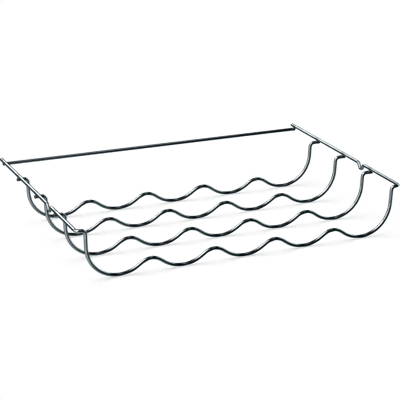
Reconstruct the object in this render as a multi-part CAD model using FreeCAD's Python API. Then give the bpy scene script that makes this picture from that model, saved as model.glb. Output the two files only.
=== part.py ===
"""Chromed-wire bottle shelf: five bottle cradles across, four wavy wires deep.

A frame wire makes both side rails and the front bottle wire.  Three more bottle
wires hang under the rails by tabs at their ends, and a straight crossbar joins
the rails at the back.  Every crossing is a resistance weld.

Axes: +X to the right, +Y to the back, +Z up.  Origin: bottom centre of the
overall box, on the plane that the shelf stands on.  Lengths in millimetres,
angles in degrees.
"""
import FreeCAD, Part
import math
import os

from FreeCAD import Vector

# wire stock
wire_diameter = 4.5
wire_end_round = 0.5          # deburred edge of every cut wire end

# bottle cradles
cradle_count = 5
cradle_diameter = 83.0        # largest bottle that seats on the bottom of a cradle
cradle_gap = 1.0              # between neighbouring bottles of that diameter
flank_angle = 34.5            # slope of the straight flank between cradle and crest
flank_straight = 6.3          # length of that straight flank
end_cradle_radius = 39.75     # inner radius of the outer half of each end cradle

# legs, tabs and rails
leg_lean = 2.2                # outward lean of the end legs from the vertical
bend_radius = 5.3             # centreline radius of the elbows and the front corners
corner_straight = 1.0         # straight wire between front elbow and front corner
rail_height = 65.1            # centre of the rails above the standing plane
tab_overhang = 0.5            # tab ends stand out past the rails' outer sides
crossbar_inset = 2.0          # crossbar ends stop short of the rails' outer sides

# spacing from front to back
wire_spacing = 72.2           # between neighbouring bottle wires
hung_wires = ("second_bottle_wire", "third_bottle_wire", "rear_bottle_wire")
crossbar_setback = 69.3       # from the rear bottle wire to the crossbar
rail_rear_overhang = 8.5      # rail behind the crossbar's centre

# V notch in each rail
notch_setback = 95.1          # from the front bottle wire to the tip of the V
notch_depth = 9.2             # from the rail's centreline to the V's unrounded tip
notch_front_run = 5.7         # front flank of the V, measured along the rail
notch_rear_run = 8.3          # rear flank of the V, measured along the rail
notch_bend_radius = 3.5       # centreline radius of the V's three bends

# welds
weld_set_down = 0.15          # how far the crossing wires sink into each other
weld_waist_radius = 1.85      # neck of the weld, halfway between the two wires
weld_foot_radius = 2.05       # where the weld spreads on to the wires
weld_foot_rise = 1.1          # height of that spread above and below the waist

# worked out from the sizes above
wire_radius = wire_diameter / 2
cradle_pitch = cradle_diameter + cradle_gap
valley_radius = cradle_diameter / 2 + wire_radius
end_radius = end_cradle_radius + wire_radius
slope = math.radians(flank_angle)
lean = math.radians(leg_lean)
crest_radius = (cradle_pitch / 2 - flank_straight * math.cos(slope)) / math.sin(slope) - valley_radius
crest_height = ((valley_radius + crest_radius) * (1 - math.cos(slope))
                + flank_straight * math.sin(slope))
last_valley_x = (cradle_count - 1) / 2 * cradle_pitch
leg_turn = math.pi / 2 - lean
leg_foot_x = last_valley_x + end_radius * math.tan(leg_turn / 2)
elbow_reach = bend_radius * math.tan(leg_turn / 2)


def leg_x(height):
    """Where the line of the right leg is at this height above the standing plane."""
    return leg_foot_x + (height - wire_radius) * math.tan(lean)


rail_x = leg_x(rail_height) + elbow_reach + corner_straight + bend_radius
tab_height = rail_height - wire_diameter + weld_set_down
tab_end_x = rail_x + wire_radius + tab_overhang
crossbar_end_x = rail_x + wire_radius - crossbar_inset
depth = (wire_radius + len(hung_wires) * wire_spacing + crossbar_setback + rail_rear_overhang)
front_y = wire_radius - depth / 2
hung_y = [front_y + (i + 1) * wire_spacing for i in range(len(hung_wires))]
crossbar_y = hung_y[-1] + crossbar_setback
rail_back_y = crossbar_y + rail_rear_overhang


def rounded_path(start, corners, end):
    """One wire of straight runs and tangent arcs.

    corners is a list of (corner point, centreline radius).  Where two arcs meet
    with nothing straight between them, the run is left out.
    """
    points = [start] + [point for point, radius in corners] + [end]
    edges = []
    here = start
    for i, (corner, radius) in enumerate(corners):
        way_in = (corner - points[i]).normalize()
        way_out = (points[i + 2] - corner).normalize()
        turn = way_in.getAngle(way_out)
        reach = radius * math.tan(turn / 2)
        arc_start = corner - way_in * reach
        arc_end = corner + way_out * reach
        to_centre = (way_out - way_in).normalize()
        arc_middle = corner + to_centre * (radius / math.cos(turn / 2) - radius)
        if here.distanceToPoint(arc_start) > 1e-6:
            edges.append(Part.LineSegment(here, arc_start).toShape())
        edges.append(Part.Arc(arc_start, arc_middle, arc_end).toShape())
        here = arc_end
    edges.append(Part.LineSegment(here, end).toShape())
    return Part.Wire(edges)


def round_wire(path, start, end):
    """Round stock swept along a path, with both cut ends deburred."""
    way = path.Edges[0].tangentAt(path.Edges[0].FirstParameter)
    section = Part.Face(Part.Wire(Part.Circle(start, way, wire_radius).toShape()))
    rod = path.makePipe(section)
    rims = [edge for edge in rod.Edges if is_end_rim(edge, start) or is_end_rim(edge, end)]
    return rod.makeFillet(wire_end_round, rims)


def is_end_rim(edge, centre):
    """True for the circular edge around a cut wire end."""
    if not isinstance(edge.Curve, Part.Circle):
        return False
    return edge.Curve.Center.distanceToPoint(centre) < 1e-4


def mirrored(corners):
    """The same corners for the left half, in the order that the path meets them."""
    return [(Vector(-p.x, p.y, p.z), radius) for p, radius in reversed(corners)]


def end_corners(y, top_height):
    """Right-hand end of a bottle wire: half cradle, leg and elbow."""
    half_cradle = Vector(last_valley_x - valley_radius * math.tan(slope / 2), y, wire_radius)
    foot = Vector(leg_foot_x, y, wire_radius)
    elbow = Vector(leg_x(top_height), y, top_height)
    return [(half_cradle, valley_radius), (foot, end_radius), (elbow, bend_radius)]


def bottle_wire_corners(y, top_height):
    """All corners of one bottle wire, from its left elbow to its right elbow."""
    above_crest = wire_radius + crest_height + crest_radius * (1 / math.cos(slope) - 1)
    below_valley = wire_radius - valley_radius * (1 / math.cos(slope) - 1)
    waves = []
    for i in range(2 * cradle_count - 3):
        x = (i + 1) * cradle_pitch / 2 - last_valley_x
        if i % 2 == 0:
            waves.append((Vector(x, y, above_crest), crest_radius))
        else:
            waves.append((Vector(x, y, below_valley), valley_radius))
    end = end_corners(y, top_height)
    return mirrored(end) + waves + end


def rail_corners():
    """Right rail from the front corner back through the V notch."""
    tip_y = front_y + notch_setback
    corner = Vector(rail_x, front_y, rail_height)
    v_front = Vector(rail_x, tip_y - notch_front_run, rail_height)
    v_tip = Vector(rail_x, tip_y, rail_height - notch_depth)
    v_rear = Vector(rail_x, tip_y + notch_rear_run, rail_height)
    notch = [(point, notch_bend_radius) for point in (v_front, v_tip, v_rear)]
    return [(corner, bend_radius)] + notch


def frame_wire():
    """Both side rails and the front bottle wire, bent from one length."""
    start = Vector(-rail_x, rail_back_y, rail_height)
    end = Vector(rail_x, rail_back_y, rail_height)
    rail = rail_corners()
    corners = mirrored(rail) + bottle_wire_corners(front_y, rail_height) + rail
    path = rounded_path(start, corners, end)
    return round_wire(path, start, end), path


def hung_bottle_wire(y, frame):
    """A bottle wire whose tabs are welded up against the rails from below."""
    start = Vector(-tab_end_x, y, tab_height)
    end = Vector(tab_end_x, y, tab_height)
    path = rounded_path(start, bottle_wire_corners(y, tab_height), end)
    return round_wire(path, start, end).cut(frame), path


def rear_crossbar(frame):
    """Straight wire welded up against both rails near their back ends."""
    start = Vector(-crossbar_end_x, crossbar_y, tab_height)
    end = Vector(crossbar_end_x, crossbar_y, tab_height)
    path = rounded_path(start, [], end)
    return round_wire(path, start, end).cut(frame), path


def weld(x, y, frame, crossing_wire, end_x):
    """Neck of weld metal between a rail and the wire that crosses below it.

    It stops at the crossing wire's cut ends, which are at end_x on both sides.
    """
    waist = Vector(x, y, (rail_height + tab_height) / 2)
    upper = Part.makeCone(weld_waist_radius, weld_foot_radius, weld_foot_rise, waist, Vector(0, 0, 1))
    lower = Part.makeCone(weld_waist_radius, weld_foot_radius, weld_foot_rise, waist, Vector(0, 0, -1))
    beside_wire = Part.makeBox(2 * end_x, 2 * wire_diameter, 2 * wire_diameter,
                               waist - Vector(x + end_x, wire_diameter, wire_diameter))
    neck = upper.fuse(lower).removeSplitter().common(beside_wire)
    return neck.cut(frame).cut(crossing_wire)


def report_wire(name, shape, path):
    """Prints a wire's volume beside its section times its length."""
    stock = math.pi * wire_radius ** 2 * path.Length
    print(f"{name}: length {path.Length:.1f}, volume {shape.Volume:.1f}, stock {stock:.1f}, "
          f"solids {len(shape.Solids)}, valid {shape.isValid()}")


def save(name, shape):
    shape.exportStep(f"parts/{name}.step")


os.makedirs("parts", exist_ok=True)

frame, frame_path = frame_wire()
report_wire("frame_wire", frame, frame_path)
save("frame_wire", frame)

crossing_wires = []
for wire_name, wire_y in zip(hung_wires, hung_y):
    wire, wire_path = hung_bottle_wire(wire_y, frame)
    report_wire(wire_name, wire, wire_path)
    save(wire_name, wire)
    crossing_wires.append((wire_y, wire, tab_end_x))

crossbar, crossbar_path = rear_crossbar(frame)
report_wire("rear_crossbar", crossbar, crossbar_path)
save("rear_crossbar", crossbar)
crossing_wires.append((crossbar_y, crossbar, crossbar_end_x))

for side, x in (("left", -rail_x), ("right", rail_x)):
    welds = [weld(x, y, frame, wire, end_x) for y, wire, end_x in crossing_wires]
    print(side, "welds:", [(len(w.Solids), w.isValid(), round(w.Volume, 2)) for w in welds])
    save(f"{side}_rail_welds", Part.Compound(welds))
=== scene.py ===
"""Looks for a chromed-wire bottle shelf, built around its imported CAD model.

The CAD wires come as coarse facets, which show in a mirror finish.  So each wire
is swept again here along the same route and at the same sizes, finely, and each
weld is a smooth collar between the two wires that it joins.

The shelf stands on a white table.  What its chrome mirrors is a dark room with
soft panels of light, so each wire shows white, grey and near-black bands.
"""
import math

import bpy
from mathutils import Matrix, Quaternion, Vector, noise


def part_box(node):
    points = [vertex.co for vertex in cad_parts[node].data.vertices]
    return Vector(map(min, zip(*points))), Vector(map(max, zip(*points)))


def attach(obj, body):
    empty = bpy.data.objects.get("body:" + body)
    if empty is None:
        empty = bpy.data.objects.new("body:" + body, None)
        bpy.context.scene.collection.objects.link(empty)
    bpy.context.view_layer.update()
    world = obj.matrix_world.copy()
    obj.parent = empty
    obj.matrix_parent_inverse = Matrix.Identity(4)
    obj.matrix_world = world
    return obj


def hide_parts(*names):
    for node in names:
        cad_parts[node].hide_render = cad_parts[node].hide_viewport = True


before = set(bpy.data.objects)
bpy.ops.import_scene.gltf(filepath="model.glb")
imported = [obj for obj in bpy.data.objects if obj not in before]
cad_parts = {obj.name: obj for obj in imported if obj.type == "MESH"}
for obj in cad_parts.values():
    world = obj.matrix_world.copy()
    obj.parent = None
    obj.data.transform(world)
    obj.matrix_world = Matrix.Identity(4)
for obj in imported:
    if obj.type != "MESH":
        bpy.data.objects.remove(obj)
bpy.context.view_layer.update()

# camera, in metres and degrees
CAMERA_PLACE = (-0.7408, -1.5975, 0.6571)
CAMERA_AZIMUTH = -25.04
CAMERA_ELEVATION = 19.71
CAMERA_ROLL = 1.06
CAMERA_LENS_MM = 126.41
CAMERA_SENSOR_MM = 36.0
CAMERA_NEAR = 0.05
CAMERA_FAR = 50.0

# stage, in metres and degrees
STAGE_RADIUS = 12.0
BACKDROP_SEGMENTS = 48
FILL_ANGLE = 80
FILL_TILT = -15
FILL_ENERGY = 3.6
FLOOR_ALBEDO = 0.25
FLOOR_GLOW = 0.75

# the room that the chrome mirrors: tones are as the chrome shows them, and it
# shows red a little darker and blue a little lighter than green
CHROME = 0.8
RED_DROP = 0.042
BLUE_RISE = 0.014
ROOM_TONE = 0.0
GROUND_TONE = 0.39
# downward part of the direction where the ground begins, and where it is full
GROUND_START = -0.09
GROUND_FULL = -0.42
# degrees over which a panel's edge fades
PANEL_EDGE = 6
# azimuth (0 at the back, 90 at the right), elevation, half width and half height
# in degrees, then the tone; later panels cover earlier ones.  All but the last, and
# the room's and ground's tones, are the rounded result of a least-squares program
# that fitted the tones of the wires.  They were not chosen by hand.
PANELS = [
    (-98, 34, 45, 47, 1.10),    # big light, left
    (-6, 23, 25, 14, 1.13),     # light behind, raised
    (80, 18, 48, 26, 0.70),     # broad grey light, right
    (58, -49, 64, 26, 0.70),    # broad grey light, below and behind on the right
    (29, -41, 20, 23, 1.20),    # bright patch, mostly over that one
    (-15, -9, 17, 25, 0.19),    # dark card behind, low
    (136, -7, 21, 39, 0.04),    # black card, front right
    (90, 67, 60, 4, 0.52),      # narrow strip, high on the right
    (9, 79, 21, 7, 0.65),       # small light overhead
    (89, -57, 23, 4, 0.21),     # narrow dark strip, below on the right
    (6, 8, 13, 9, 0.00),        # black card behind
    (-132, -36, 43, 15, 0.64),  # grey light, below and in front on the left
    (75, 81, 15, 19, 0.25),     # dark card overhead
    (-90, 12, 14, 28, 0.45),    # grey card, left
]

# chrome: changes per metre of each noise, for streaks along the wire and twice
# across it, and for scuffs to the right, to the back and up
STREAK_SCALE = (60.0, 2600.0, 2600.0)
SCUFF_SCALE = (2400.0, 160.0, 400.0)
CLOUD_SCALE = 70.0
SPECKLE_SCALE = 1800.0
PEEL_SCALE = 900.0
# values of each noise between which its effect grows from least to most
CLOUD_TONE_SPAN = (0.3, 0.7)
CLOUD_HAZE_SPAN = (0.3, 0.75)
STREAK_TONE_SPAN = (0.3, 0.7)
STREAK_HAZE_SPAN = (0.35, 0.75)
SPECKLE_SPAN = (0.25, 0.70)
SCUFF_SPAN = (0.56, 0.70)
# upward part of the surface's direction where scuffs begin, and where they are full
SCUFFED_SIDE = (0.75, 0.98)
# share of the heat's effect that is left between the speckles
SPECKLE_LEAST = 0.55
# tones and roughnesses run from the clearest to the cloudiest plating
WIRE_TONES = (0.825, 0.775)
WIRE_ROUGHNESS = (0.03, 0.08)
# the welds' tones are darker partly for the duller plating over a weld and partly as painted shade where
# the rail meets the wire below it
WELD_PLATING_AND_SHADE_TONES = (0.60, 0.48)
WELD_ROUGHNESS = (0.10, 0.18)
STREAK_TONE = 0.022
STREAK_ROUGHNESS = 0.04
SCUFF_ROUGHNESS = 0.12
HEAT_TONE = 0.72
HEAT_ROUGHNESS = 0.10
CUT_END_TONE = 0.8
CUT_END_ROUGHNESS = 0.16
# relief of the plating, in millimetres
PEEL_HEIGHT = 0.004
WELD_PEEL_HEIGHT = 0.03
STREAK_HEIGHT = 0.001
HEAT_HEIGHT = 0.008
CUT_END_HEIGHT = 0.02

# the shelf, in millimetres and degrees, at the sizes of its CAD model; the radii
# of bends and cradles are those of the wire's centre line
MM = 0.001
WIRE_RADIUS = 2.25
WIRE_END_ROUND = 0.5
CRADLE_COUNT = 5
CRADLE_PITCH = 84.0
VALLEY_RADIUS = 43.75
END_RADIUS = 42.0
FLANK_ANGLE = 34.5
FLANK_STRAIGHT = 6.3
LEG_LEAN = 2.2
BEND_RADIUS = 5.3
CORNER_STRAIGHT = 1.0
RAIL_HEIGHT = 65.1
TAB_HEIGHT = 60.75
TAB_OVERHANG = 0.5
CROSSBAR_INSET = 2.0
NOTCH_SETBACK = 95.1
NOTCH_DEPTH = 9.2
NOTCH_FRONT_RUN = 5.7
NOTCH_REAR_RUN = 8.3
NOTCH_BEND_RADIUS = 3.5
WELD_WAIST = 1.85
WELD_FOOT = 2.15
WELD_BITE = 0.05
HUNG_WIRES = ("second_bottle_wire", "third_bottle_wire", "rear_bottle_wire")

# worked out from those sizes
SLOPE = math.radians(FLANK_ANGLE)
LEG_TURN = math.radians(90 - LEG_LEAN)
CREST_RADIUS = (CRADLE_PITCH / 2 - FLANK_STRAIGHT * math.cos(SLOPE)) / math.sin(SLOPE) - VALLEY_RADIUS
WAVE_HEIGHT = (VALLEY_RADIUS + CREST_RADIUS) * (1 - math.cos(SLOPE)) + FLANK_STRAIGHT * math.sin(SLOPE)
LAST_VALLEY_X = (CRADLE_COUNT - 1) / 2 * CRADLE_PITCH
LEG_FOOT_X = LAST_VALLEY_X + END_RADIUS * math.tan(LEG_TURN / 2)
LEG_TOP_X = LEG_FOOT_X + (RAIL_HEIGHT - WIRE_RADIUS) / math.tan(LEG_TURN)
RAIL_X = LEG_TOP_X + BEND_RADIUS * math.tan(LEG_TURN / 2) + CORNER_STRAIGHT + BEND_RADIUS
TAB_END_X = RAIL_X + WIRE_RADIUS + TAB_OVERHANG
CROSSBAR_END_X = RAIL_X + WIRE_RADIUS - CROSSBAR_INSET

# lumps of a weld collar: their height, and how many there are per radius and upwards
WELD_UNEVENNESS = 0.04
WELD_LUMPS = 2
WELD_LUMPS_UP = 3

# distance from a weld's middle that its heat dulled fully, and where that ends
HEAT_FULL = 3.2
HEAT_NONE = 8.0

# fineness of the meshes
ARC_STEP = math.radians(3)
RUN_STEP = 2.5
RUN_STEP_SLACK = 0.001
ROUND_STEPS = 40
END_STEPS = 5
# radii of the rings on a cut face, as shares of its flat part
CUT_FACE_RINGS = (0.5, 0.9)
WELD_ROUND_STEPS = 56
WELD_ROWS = 11

# baking map: height that a row of a collar has on it, and the share of a cell that
# stays free at its edge
WELD_ROW_HEIGHT = 0.13
MAP_EDGE = 0.02


class Tree:
    """Short ways to add nodes to a shader tree."""

    def __init__(self, tree):
        self.nodes = tree.nodes
        self.links = tree.links

    def add(self, kind, inputs=None, **settings):
        """A new node with these inputs, given by name or number, and these settings."""
        node = self.nodes.new(kind)
        for name, value in settings.items():
            setattr(node, name, value)
        for name, value in (inputs or {}).items():
            self.feed(node.inputs[name], value)
        return node

    def feed(self, socket, value):
        """Links a socket to another one, or sets its value."""
        if isinstance(value, bpy.types.NodeSocket):
            self.links.new(value, socket)
        else:
            socket.default_value = value

    def math(self, operation, first, second=0.0):
        return self.add("ShaderNodeMath", {0: first, 1: second}, operation=operation).outputs[0]

    def ramp(self, value, span, least, most):
        """Grows smoothly from least to most while the value goes through its span."""
        low, high = span
        inputs = {"Value": value, "From Min": low, "From Max": high, "To Min": least, "To Max": most}
        return self.add("ShaderNodeMapRange", inputs, interpolation_type="SMOOTHSTEP").outputs[0]

    def turned(self, vector, axis, angle):
        inputs = {"Vector": vector, "Angle": angle}
        return self.add("ShaderNodeVectorRotate", inputs, rotation_type=axis).outputs[0]

    def split(self, vector):
        return self.add("ShaderNodeSeparateXYZ", {0: vector}).outputs

    def mix(self, factor, below, above):
        """Two colours mixed.  The node has its colours at inputs 6 and 7 and at output 2."""
        inputs = {"Factor": factor, 6: below, 7: above}
        return self.add("ShaderNodeMix", inputs, data_type="RGBA").outputs[2]

    def stretched(self, vector, scales):
        inputs = {0: vector, 1: scales}
        return self.add("ShaderNodeVectorMath", inputs, operation="MULTIPLY").outputs[0]

    def noise(self, vector, scale, detail):
        inputs = {"Vector": vector, "Scale": scale, "Detail": detail}
        return self.add("ShaderNodeTexNoise", inputs).outputs[0]


def new_material(name):
    material = bpy.data.materials.new(name)
    material.use_nodes = True
    return material, Tree(material.node_tree)


def add_to_scene(name, data):
    item = bpy.data.objects.new(name, data)
    bpy.context.scene.collection.objects.link(item)
    return item


def add_camera():
    azimuth = math.radians(CAMERA_AZIMUTH)
    elevation = math.radians(CAMERA_ELEVATION)
    level = math.cos(elevation)
    back = Vector((math.sin(azimuth) * level, -math.cos(azimuth) * level, math.sin(elevation)))
    camera = add_to_scene("camera", bpy.data.cameras.new("camera"))
    camera.rotation_mode = "QUATERNION"
    roll = Quaternion(back, math.radians(CAMERA_ROLL))
    camera.rotation_quaternion = roll @ (-back).to_track_quat("-Z", "Y")
    camera.location = CAMERA_PLACE
    camera.data.sensor_width = CAMERA_SENSOR_MM
    camera.data.lens = CAMERA_LENS_MM
    camera.data.clip_start = CAMERA_NEAR
    camera.data.clip_end = CAMERA_FAR
    bpy.context.scene.camera = camera


def add_floor():
    """White table top that glows a little, and that can be seen through from below."""
    mesh = bpy.data.meshes.new("floor")
    near, far = -STAGE_RADIUS, STAGE_RADIUS
    mesh.from_pydata([(near, near, 0), (far, near, 0), (far, far, 0), (near, far, 0)], [], [(0, 1, 2, 3)])
    material, tree = new_material("floor")
    shader = tree.nodes["Principled BSDF"]
    shader.inputs["Base Color"].default_value = (FLOOR_ALBEDO,) * 3 + (1,)
    shader.inputs["Roughness"].default_value = 1.0
    shader.inputs["Specular IOR Level"].default_value = 0.0
    shader.inputs["Emission Color"].default_value = (1, 1, 1, 1)
    shader.inputs["Emission Strength"].default_value = FLOOR_GLOW
    backside = tree.add("ShaderNodeNewGeometry").outputs["Backfacing"]
    clear = tree.add("ShaderNodeBsdfTransparent").outputs[0]
    sided = tree.add("ShaderNodeMixShader", {0: backside, 1: shader.outputs[0], 2: clear})
    tree.feed(tree.nodes["Material Output"].inputs["Surface"], sided.outputs[0])
    mesh.materials.append(material)
    floor = add_to_scene("floor", mesh)
    floor.visible_glossy = False


def add_backdrop():
    """White dome far behind everything, for views that look over the floor's edge."""
    bpy.ops.mesh.primitive_uv_sphere_add(
        segments=BACKDROP_SEGMENTS, ring_count=BACKDROP_SEGMENTS // 2, radius=STAGE_RADIUS)
    backdrop = bpy.context.object
    backdrop.name = "backdrop"
    material, tree = new_material("backdrop")
    glow = tree.add("ShaderNodeEmission", {"Color": (1, 1, 1, 1), "Strength": 1.0})
    tree.feed(tree.nodes["Material Output"].inputs["Surface"], glow.outputs[0])
    backdrop.data.materials.append(material)
    backdrop.visible_glossy = False
    backdrop.visible_diffuse = False
    backdrop.visible_shadow = False


def add_fill():
    """Broad soft light from above, for the floor alone."""
    light = bpy.data.lights.new("fill", "SUN")
    light.angle = math.radians(FILL_ANGLE)
    light.energy = FILL_ENERGY
    fill = add_to_scene("fill", light)
    fill.rotation_euler = (math.radians(FILL_TILT), math.radians(FILL_TILT), 0)
    fill.visible_glossy = False


def panel_group():
    """Node group that gives 1 inside a soft-edged panel of the studio and 0 outside it."""
    group = bpy.data.node_groups.new("studio_panel", "ShaderNodeTree")
    group.interface.new_socket("Direction", in_out="INPUT", socket_type="NodeSocketVector")
    for port in ("Azimuth", "Elevation", "Half width", "Half height"):
        group.interface.new_socket(port, in_out="INPUT", socket_type="NodeSocketFloat")
    group.interface.new_socket("Mask", in_out="OUTPUT", socket_type="NodeSocketFloat")
    tree = Tree(group)
    given = tree.add("NodeGroupInput").outputs
    level = tree.turned(given["Direction"], "Z_AXIS", given["Azimuth"])
    faced = tree.turned(level, "X_AXIS", tree.math("MULTIPLY", given["Elevation"], -1.0))
    x, y, z = tree.split(faced)
    flat = tree.math("SQRT", tree.math("ADD", tree.math("MULTIPLY", x, x), tree.math("MULTIPLY", y, y)))
    masks = []
    half_edge = math.radians(PANEL_EDGE) / 2
    for side, ahead, half in ((x, y, "Half width"), (z, flat, "Half height")):
        angle = tree.math("ABSOLUTE", tree.math("ARCTAN2", side, ahead))
        past_edge = tree.math("SUBTRACT", angle, given[half])
        masks.append(tree.ramp(past_edge, (-half_edge, half_edge), 1.0, 0.0))
    tree.add("NodeGroupOutput", {"Mask": tree.math("MULTIPLY", *masks)})
    return group


def radiance(tone):
    """Light that the chrome shows as that tone, slightly cool."""
    cool = (max(tone - RED_DROP, 0.0), tone, tone + BLUE_RISE)
    return tuple(c / CHROME for c in cool) + (1.0,)


def add_studio():
    """The room that the chrome mirrors: dark, with soft panels of light and dark cards."""
    world = bpy.data.worlds.new("studio")
    world.use_nodes = True
    bpy.context.scene.world = world
    world.cycles_visibility.diffuse = False
    tree = Tree(world.node_tree)
    direction = tree.add("ShaderNodeTexCoord").outputs["Generated"]
    above_ground = tree.ramp(tree.split(direction)[2], (GROUND_FULL, GROUND_START), 0.0, 1.0)
    colour = tree.mix(above_ground, radiance(GROUND_TONE), radiance(ROOM_TONE))
    group = panel_group()
    for azimuth, elevation, half_width, half_height, tone in PANELS:
        inputs = {
            "Direction": direction,
            "Azimuth": math.radians(azimuth),
            "Elevation": math.radians(elevation),
            "Half width": math.radians(half_width),
            "Half height": math.radians(half_height),
        }
        panel = tree.add("ShaderNodeGroup", node_tree=group)
        for name, value in inputs.items():
            tree.feed(panel.inputs[name], value)
        colour = tree.mix(panel.outputs["Mask"], colour, radiance(tone))
    tree.feed(tree.nodes["Background"].inputs["Color"], colour)


def chrome(name, tones, roughness, peel):
    """Bright plating over drawn wire.

    It has cloudy tone and gloss, fine streaks along the wire, orange peel, scuffs
    on the upper side where bottles lie, dull heat zones at welds and rough cut ends.
    """
    material, tree = new_material(name)
    stock = tree.add("ShaderNodeAttribute", attribute_name="stock").outputs["Vector"]
    heat = tree.add("ShaderNodeAttribute", attribute_name="weld_heat").outputs["Fac"]
    cut_end = tree.add("ShaderNodeAttribute", attribute_name="cut_end").outputs["Fac"]
    place = tree.add("ShaderNodeTexCoord").outputs["Object"]
    upward = tree.split(tree.add("ShaderNodeNewGeometry").outputs["Normal"])[2]

    streaks = tree.noise(tree.stretched(stock, STREAK_SCALE), scale=1.0, detail=3.0)
    cloud = tree.noise(stock, CLOUD_SCALE, detail=3.0)
    speckle = tree.noise(stock, SPECKLE_SCALE, detail=4.0)
    scuff_lines = tree.noise(tree.stretched(place, SCUFF_SCALE), scale=1.0, detail=2.0)
    on_top = tree.ramp(upward, SCUFFED_SIDE, 0.0, 1.0)
    scuffs = tree.math("MULTIPLY", on_top, tree.ramp(scuff_lines, SCUFF_SPAN, 0.0, 1.0))

    burnt = tree.math("MULTIPLY", heat, tree.ramp(speckle, SPECKLE_SPAN, SPECKLE_LEAST, 1.0))
    tone = tree.ramp(cloud, CLOUD_TONE_SPAN, *tones)
    tone = tree.math("ADD", tone, tree.ramp(streaks, STREAK_TONE_SPAN, -STREAK_TONE, STREAK_TONE))
    tone = tree.math("MULTIPLY", tone, tree.ramp(burnt, (0.0, 1.0), 1.0, HEAT_TONE))
    tone = tree.math("MULTIPLY", tone, tree.ramp(cut_end, (0.0, 1.0), 1.0, CUT_END_TONE))
    colour = tree.add("ShaderNodeCombineColor", {"Red": tone, "Green": tone, "Blue": tone}).outputs[0]

    rough = tree.ramp(cloud, CLOUD_HAZE_SPAN, *roughness)
    rough = tree.math("ADD", rough, tree.ramp(streaks, STREAK_HAZE_SPAN, 0.0, STREAK_ROUGHNESS))
    rough = tree.math("ADD", rough, tree.math("MULTIPLY", scuffs, SCUFF_ROUGHNESS))
    rough = tree.math("ADD", rough, tree.math("MULTIPLY", burnt, HEAT_ROUGHNESS))
    rough = tree.math("ADD", rough, tree.math("MULTIPLY", cut_end, CUT_END_ROUGHNESS))

    peel_height = tree.math("MULTIPLY", tree.noise(stock, PEEL_SCALE, detail=1.0), peel)
    height = tree.math("ADD", peel_height, tree.math("MULTIPLY", streaks, STREAK_HEIGHT))
    bubbled = tree.math("MULTIPLY", tree.math("MULTIPLY", burnt, speckle), HEAT_HEIGHT)
    height = tree.math("ADD", height, bubbled)
    sawn = tree.math("MULTIPLY", tree.math("MULTIPLY", cut_end, speckle), CUT_END_HEIGHT)
    height = tree.math("ADD", height, sawn)
    bump = tree.add("ShaderNodeBump", {"Height": height, "Strength": 1.0, "Distance": MM})

    shader = tree.nodes["Principled BSDF"]
    shader.inputs["Metallic"].default_value = 1.0
    tree.feed(shader.inputs["Base Color"], colour)
    tree.feed(shader.inputs["Roughness"], rough)
    tree.feed(shader.inputs["Normal"], bump.outputs[0])
    return material


def rounded_path(start, corners, end):
    """Points along straight runs and the tangent arcs that join them."""
    ends = [start] + [corner for corner, radius in corners] + [end]
    path = [start]
    for i, (corner, radius) in enumerate(corners):
        way_in = (corner - ends[i]).normalized()
        way_out = (ends[i + 2] - corner).normalized()
        turn = way_in.angle(way_out)
        arc_start = corner - way_in * radius * math.tan(turn / 2)
        centre = corner + (way_out - way_in).normalized() * radius / math.cos(turn / 2)
        go_straight(path, arc_start)
        steps = math.ceil(turn / ARC_STEP)
        for k in range(1, steps + 1):
            swing = Quaternion(way_in.cross(way_out), turn * k / steps)
            path.append(centre + swing @ (arc_start - centre))
    go_straight(path, end)
    return path


def go_straight(path, goal):
    """Adds evenly spaced points from the path's last one to the goal."""
    here = path[-1]
    steps = math.ceil((goal - here).length / RUN_STEP - RUN_STEP_SLACK)
    path.extend(here.lerp(goal, k / steps) for k in range(1, steps + 1))


def mirrored(corners):
    """The same corners for the left half, in the order that the path meets them."""
    return [(Vector((-p.x, p.y, p.z)), radius) for p, radius in reversed(corners)]


def bottle_wire_corners(y, top_height):
    """Corners of one wavy wire, from its left elbow to its right elbow."""
    above_crest = WIRE_RADIUS + WAVE_HEIGHT + CREST_RADIUS * (1 / math.cos(SLOPE) - 1)
    below_valley = WIRE_RADIUS - VALLEY_RADIUS * (1 / math.cos(SLOPE) - 1)
    waves = []
    for i in range(2 * CRADLE_COUNT - 3):
        x = (i + 1) * CRADLE_PITCH / 2 - LAST_VALLEY_X
        if i % 2 == 0:
            waves.append((Vector((x, y, above_crest)), CREST_RADIUS))
        else:
            waves.append((Vector((x, y, below_valley)), VALLEY_RADIUS))
    half_cradle = Vector((LAST_VALLEY_X - VALLEY_RADIUS * math.tan(SLOPE / 2), y, WIRE_RADIUS))
    foot = Vector((LEG_FOOT_X, y, WIRE_RADIUS))
    elbow = Vector((LEG_FOOT_X + (top_height - WIRE_RADIUS) / math.tan(LEG_TURN), y, top_height))
    end = [(half_cradle, VALLEY_RADIUS), (foot, END_RADIUS), (elbow, BEND_RADIUS)]
    return mirrored(end) + waves + end


def rail_corners(front_y):
    """Right rail, from its front corner back through the V notch."""
    tip_y = front_y + NOTCH_SETBACK
    corner = Vector((RAIL_X, front_y, RAIL_HEIGHT))
    v_front = Vector((RAIL_X, tip_y - NOTCH_FRONT_RUN, RAIL_HEIGHT))
    v_tip = Vector((RAIL_X, tip_y, RAIL_HEIGHT - NOTCH_DEPTH))
    v_rear = Vector((RAIL_X, tip_y + NOTCH_REAR_RUN, RAIL_HEIGHT))
    notch = [(point, NOTCH_BEND_RADIUS) for point in (v_front, v_tip, v_rear)]
    return [(corner, BEND_RADIUS)] + notch


def end_rings():
    """Setback and radius of each ring of a deburred wire end, from its face inwards."""
    flat = WIRE_RADIUS - WIRE_END_ROUND
    rings = [(0.0, flat * share) for share in CUT_FACE_RINGS]
    for k in range(END_STEPS + 1):
        angle = math.pi / 2 * k / END_STEPS
        rings.append((WIRE_END_ROUND * (1 - math.cos(angle)), flat + WIRE_END_ROUND * math.sin(angle)))
    return rings


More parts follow.
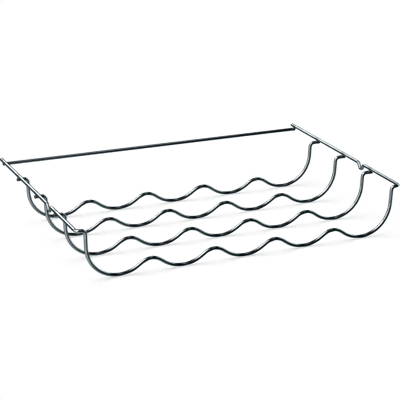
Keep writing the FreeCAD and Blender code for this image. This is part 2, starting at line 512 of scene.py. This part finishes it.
def wire_rings(path):
    """Place, heading, radius and whether it lies on a cut end, of every ring of a wire."""
    first = (path[1] - path[0]).normalized()
    last = (path[-1] - path[-2]).normalized()
    start = []
    end = []
    for setback, radius in end_rings():
        cut = float(setback == 0.0)
        start.append((path[0] + first * setback, first, radius, cut))
        end.insert(0, (path[-1] - last * setback, last, radius, cut))
    middle = []
    for before, here, after in zip(path, path[1:-1], path[2:]):
        heading = ((here - before).normalized() + (after - here).normalized()).normalized()
        middle.append((here, heading, WIRE_RADIUS, 0.0))
    return start + middle + end


def weld_heat(place, welds):
    """1 where a weld dulled the plating, falling to 0 a few millimetres away."""
    away = min((place - weld).length for weld in welds)
    return 1 - min(max((away - HEAT_FULL) / (HEAT_NONE - HEAT_FULL), 0.0), 1.0)


def map_place(strip, strips, cell, cells, along, turn):
    """Place on the baking map of a point so far along its strip and round the tube.

    A strip's last faces run past its end, so the free edge there is three times as wide.
    """
    u = (cell + MAP_EDGE + (1 - 4 * MAP_EDGE) * along) / cells
    v = (strip + 1 - MAP_EDGE - (1 - 2 * MAP_EDGE) * turn) / strips
    return u, v


def tube(first, runs, around, strips=1, cell=0, cells=1):
    """Faces of a closed tube, and each corner's place on the baking map.

    The vertices of its rings start at number first, and its two end points follow.
    runs has the distance over the surface from the start point to each ring and to
    the end point.  The map lays the tube out flat, cut into strips, in one cell.
    """
    rings = len(runs) - 2
    ends = first + rings * around
    strip_length = runs[-1] / strips
    faces = []
    places = []
    for row in range(rings + 1):
        strip = min(int(runs[row] / strip_length), strips - 1)
        low = first + (row - 1) * around
        high = low + around
        for k in range(around):
            after = (k + 1) % around
            if row == 0:
                corners = [(ends, 0, k + 0.5), (high + after, 1, k + 1), (high + k, 1, k)]
            elif row == rings:
                corners = [(ends + 1, 1, k + 0.5), (low + k, 0, k), (low + after, 0, k + 1)]
            else:
                corners = [(low + k, 0, k), (low + after, 0, k + 1)]
                corners += [(high + after, 1, k + 1), (high + k, 1, k)]
            faces.append([vertex for vertex, step, turn in corners])
            for vertex, step, turn in corners:
                along = runs[row + step] / strip_length - strip
                places += map_place(strip, strips, cell, cells, along, turn / around)
    return faces, places


def add_piece(node, vertices, faces, places, attributes, finish):
    """A mesh in place of a node of the CAD model, with its map and numbers for the finish."""
    name = node + "_plated"
    mesh = bpy.data.meshes.new(name)
    mesh.from_pydata([vertex * MM for vertex in vertices], [], faces)
    mesh.shade_smooth()
    mesh.uv_layers.new(name="OFBake").uv.foreach_set("vector", places)
    stock = mesh.attributes.new("stock", "FLOAT_VECTOR", "POINT")
    stock.data.foreach_set("vector", [c * MM for point in attributes["stock"] for c in point])
    for key in ("weld_heat", "cut_end"):
        mesh.attributes.new(key, "FLOAT", "POINT").data.foreach_set("value", attributes[key])
    mesh.materials.append(finish)
    piece = add_to_scene(name, mesh)
    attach(piece, "root")
    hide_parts(node)


def add_wire(node, path, welds, finish):
    """Round stock swept along the path, in place of that node.

    Each point keeps its place on the straight stock that the wire was bent from,
    which is the distance along it and then the two offsets across.
    """
    rings = wire_rings(path)
    vertices = []
    attributes = {"stock": [], "weld_heat": [], "cut_end": []}
    side = rings[0][1].orthogonal()
    travelled = 0.0
    runs = [0.0]
    here = rings[0][0]
    last_radius = 0.0
    for place, heading, radius, cut in rings:
        travelled += (place - here).length
        runs.append(runs[-1] + math.hypot((place - here).length, radius - last_radius))
        here = place
        last_radius = radius
        side = (side - heading * side.dot(heading)).normalized()
        for k in range(ROUND_STEPS):
            angle = 2 * math.pi * k / ROUND_STEPS
            sideways = radius * math.cos(angle)
            crossways = radius * math.sin(angle)
            vertices.append(place + side * sideways + heading.cross(side) * crossways)
            attributes["stock"].append((travelled, sideways, crossways))
            attributes["cut_end"].append(cut)
    for place, along in ((rings[0][0], 0.0), (rings[-1][0], travelled)):
        vertices.append(place)
        attributes["stock"].append((along, 0.0, 0.0))
        attributes["cut_end"].append(1.0)
    attributes["weld_heat"] = [weld_heat(vertex, welds) for vertex in vertices]
    runs.append(runs[-1] + last_radius)
    # as many strips as make the whole map about square
    strips = round(math.sqrt(runs[-1] / (2 * math.pi * WIRE_RADIUS)))
    faces, places = tube(0, runs, ROUND_STEPS, strips=strips)
    add_piece(node, vertices, faces, places, attributes, finish)


def weld_collar(x, y, end_x):
    """Points of a concave collar between a rail and the wire that crosses below it.

    It rests on both wires, and goes no further out than the lower wire's cut end.
    """
    points = []
    for row in range(WELD_ROWS):
        rise = row / (WELD_ROWS - 1)
        flare = (2 * rise - 1) ** 2
        for k in range(WELD_ROUND_STEPS):
            angle = 2 * math.pi * k / WELD_ROUND_STEPS
            way = Vector((math.cos(angle), math.sin(angle), 0))
            lump_place = way * WELD_LUMPS + Vector((x, y, WELD_LUMPS_UP * rise))
            uneven = WELD_UNEVENNESS * noise.noise(lump_place)
            offset = way * (WELD_WAIST + (WELD_FOOT - WELD_WAIST) * flare + uneven)
            offset.x = min(max(offset.x, -end_x - x), end_x - x)
            low = TAB_HEIGHT + math.sqrt(WIRE_RADIUS ** 2 - offset.y ** 2) - WELD_BITE
            high = RAIL_HEIGHT - math.sqrt(WIRE_RADIUS ** 2 - offset.x ** 2) + WELD_BITE
            points.append(Vector((x + offset.x, y + offset.y, low + (high - low) * rise)))
    inside = 2 * WELD_BITE
    points.append(Vector((x, y, TAB_HEIGHT + WIRE_RADIUS - inside)))
    points.append(Vector((x, y, RAIL_HEIGHT - WIRE_RADIUS + inside)))
    return points


def add_welds(node, side, crossings, finish):
    """The weld collars of one rail, in place of that node."""
    vertices = []
    faces = []
    places = []
    runs = [0.0] + [WELD_FOOT + row * WELD_ROW_HEIGHT for row in range(WELD_ROWS)]
    runs.append(runs[-1] + WELD_FOOT)
    cells = len(crossings)
    for cell, (y, end_x) in enumerate(crossings):
        more_faces, more_places = tube(len(vertices), runs, WELD_ROUND_STEPS, cell=cell, cells=cells)
        faces += more_faces
        places += more_places
        vertices += weld_collar(side * RAIL_X, y, end_x)
    attributes = {
        "stock": vertices,
        "weld_heat": [1.0] * len(vertices),
        "cut_end": [0.0] * len(vertices),
    }
    add_piece(node, vertices, faces, places, attributes, finish)


def middle_y(node):
    """How far back the middle of a CAD node is, in millimetres."""
    low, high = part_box(node)
    return (low[1] + high[1]) / 2 / MM


def add_shelf():
    """The seven pieces of the shelf, each where its CAD node is."""
    hung = {node: middle_y(node) for node in HUNG_WIRES}
    crossbar_y = middle_y("rear_crossbar")
    low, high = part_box("frame_wire")
    front_y = low[1] / MM + WIRE_RADIUS
    back_y = high[1] / MM
    crossings = [(y, TAB_END_X) for y in hung.values()] + [(crossbar_y, CROSSBAR_END_X)]
    weld_height = (RAIL_HEIGHT + TAB_HEIGHT) / 2
    welds = [Vector((side * RAIL_X, y, weld_height)) for side in (-1, 1) for y, end_x in crossings]
    wire_finish = chrome("chrome_wire", WIRE_TONES, WIRE_ROUGHNESS, PEEL_HEIGHT)
    # the weld finish's darker tone is partly duller plating and partly painted shade between rail and
    # wire
    weld_finish = chrome("chrome_weld", WELD_PLATING_AND_SHADE_TONES, WELD_ROUGHNESS, WELD_PEEL_HEIGHT)

    rail = rail_corners(front_y)
    corners = mirrored(rail) + bottle_wire_corners(front_y, RAIL_HEIGHT) + rail
    start = Vector((-RAIL_X, back_y, RAIL_HEIGHT))
    end = Vector((RAIL_X, back_y, RAIL_HEIGHT))
    add_wire("frame_wire", rounded_path(start, corners, end), welds, wire_finish)

    for node, y in hung.items():
        start = Vector((-TAB_END_X, y, TAB_HEIGHT))
        end = Vector((TAB_END_X, y, TAB_HEIGHT))
        path = rounded_path(start, bottle_wire_corners(y, TAB_HEIGHT), end)
        add_wire(node, path, welds, wire_finish)

    start = Vector((-CROSSBAR_END_X, crossbar_y, TAB_HEIGHT))
    end = Vector((CROSSBAR_END_X, crossbar_y, TAB_HEIGHT))
    add_wire("rear_crossbar", rounded_path(start, [], end), welds, wire_finish)

    add_welds("left_rail_welds", -1, crossings, weld_finish)
    add_welds("right_rail_welds", 1, crossings, weld_finish)


add_camera()
add_floor()
add_backdrop()
add_fill()
add_studio()
bpy.context.scene.view_settings.view_transform = "Raw"
add_shelf()
